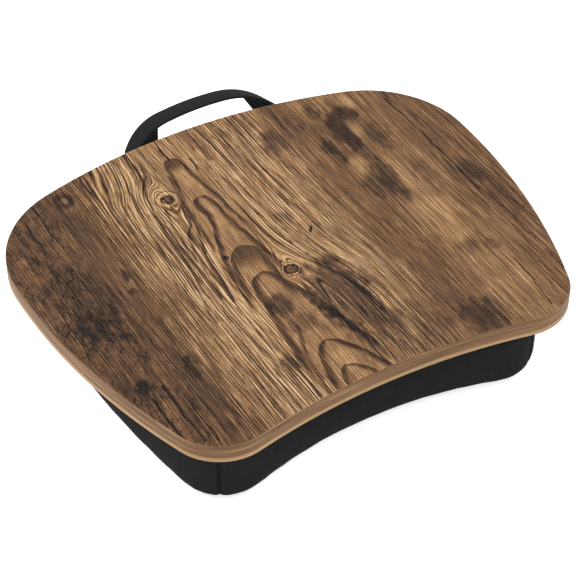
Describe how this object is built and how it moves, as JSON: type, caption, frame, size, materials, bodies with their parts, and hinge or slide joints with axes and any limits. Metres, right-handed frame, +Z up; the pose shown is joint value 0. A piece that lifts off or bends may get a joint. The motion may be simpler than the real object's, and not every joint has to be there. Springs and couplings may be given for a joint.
{
  "type": "lap desk",
  "caption": "Lap desk: a wood-print board with rounded corners and a concave front, on a black fabric cushion, with a swinging fabric carry handle at the rear.",
  "frame": {"origin": "on the flat base of the cushion, under the middle of the board", "axes": "+X to the right along the board's width, +Y to the rear edge with the handle, +Z up out of the work surface"},
  "size_m": [0.45, 0.4058, 0.0821],
  "materials": {
    "wood_print": "satin rustic-brown wood print, grain front to rear",
    "band_wood": "satin edge band, brown above and pale tan below",
    "core_fibreboard": "raw pressed fibreboard, hidden",
    "backing_paper": "matt brown balancing sheet",
    "cover_cloth": "black woven twill, matt",
    "strap_cloth": "black woven twill strap, matt",
    "webbing": "woven nylon strap, hidden in the sleeve",
    "foam": "open-cell foam, hidden",
    "staple_wire": "bright steel wire",
    "screw_steel": "zinc-plated steel"
  },
  "bodies": {
    "desk": {"core_board": "core_fibreboard", "top_laminate": "wood_print", "backing_sheet": "backing_paper", "edge_band": "band_wood", "cover_top": "cover_cloth", "cover_front_wall": "cover_cloth", "cover_side_wall": "cover_cloth", "cover_bottom": "cover_cloth", "foam_pad": "foam", "left_seam_allowance": "cover_cloth", "right_seam_allowance": "cover_cloth", "cover_staples": "staple_wire", "handle_left_tab": "strap_cloth", "handle_right_tab": "strap_cloth", "tab_screws": "screw_steel", "screw_washers": "screw_steel"},
    "handle": {"handle_left_root": "strap_cloth", "handle_right_root": "strap_cloth", "handle_sleeve": "strap_cloth", "handle_webbing": "webbing"}
  },
  "joints": [
    {"name": "handle_swing", "type": "hinge", "parent": "desk", "child": "handle", "pos_m": [0.0245, 0.1882, 0.0508], "axis": [1, 0, 0], "range_deg": [-90, 14]}
  ]
}
